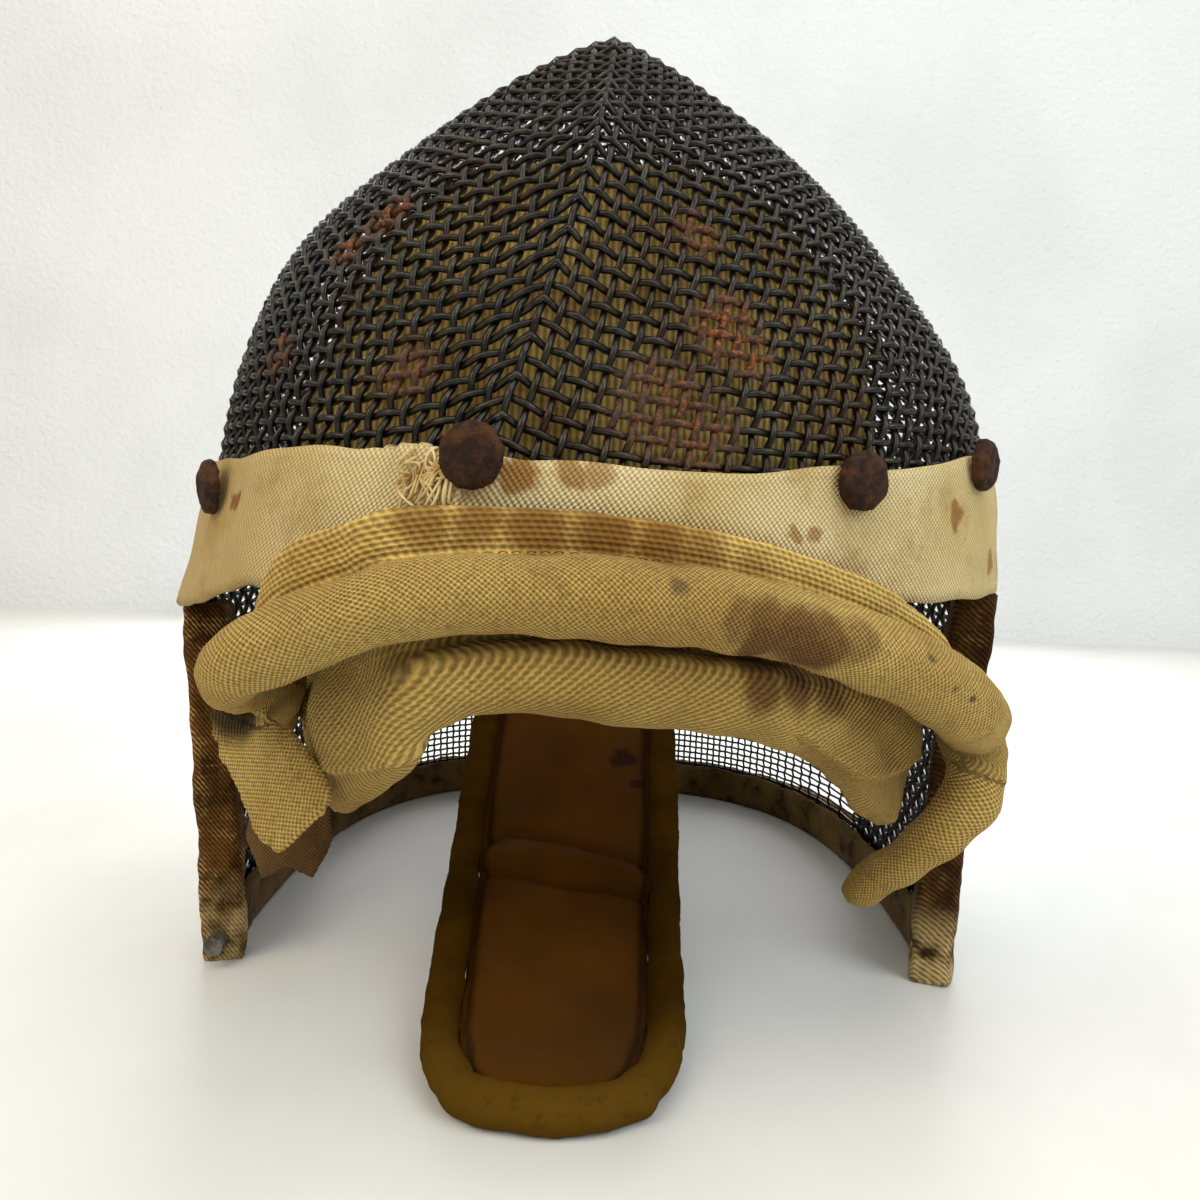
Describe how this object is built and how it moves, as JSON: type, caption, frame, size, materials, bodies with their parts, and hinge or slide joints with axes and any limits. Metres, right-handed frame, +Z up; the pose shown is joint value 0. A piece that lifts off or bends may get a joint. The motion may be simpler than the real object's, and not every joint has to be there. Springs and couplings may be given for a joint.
{
  "type": "antique fencing mask",
  "caption": "Old fencing mask lying face up on its rear rim: ridged wire-mesh cage, riveted canvas chin band, padded bib roll, taped edges and a piped leather tongue",
  "frame": {"origin": "on the table under the middle of the bounding box", "axes": "+Z up from the rear rim to the face ridge, +Y from the chin toward the crown, +X to the right as seen from the chin"},
  "size_m": [0.2052, 0.2606, 0.235],
  "materials": {
    "wire": "gunmetal wire with rust patches",
    "dark_tape": "stained woven tape",
    "jaw_tape": "rust-stained twill tape",
    "steel": "dull grey",
    "cream_canvas": "plain weave",
    "rusted_iron": "rough rust",
    "tan_canvas": "plain weave with stains",
    "tan_twill": "diagonal twill",
    "brown_canvas": "ribbed weave",
    "brown_leather": "worn, satin",
    "olive_suede": "suede nap"
  },
  "bodies": {
    "root": {"mesh_cage": "wire", "crown_binding": "dark_tape", "jaw_binding_left": "jaw_tape", "jaw_binding_right": "jaw_tape", "tip_pin_left": "steel", "chin_band": "cream_canvas", "rivet_left_edge": "rusted_iron", "rivet_chin": "rusted_iron", "rivet_right": "rusted_iron", "rivet_right_edge": "rusted_iron", "bib_roll": "tan_canvas", "bib_inner": "tan_twill", "chin_lining": "brown_canvas", "tongue_pad": "brown_leather", "tongue_piping": "olive_suede", "tongue_anchor": "steel", "lining_scrap": "brown_canvas"}
  },
  "joints": []
}
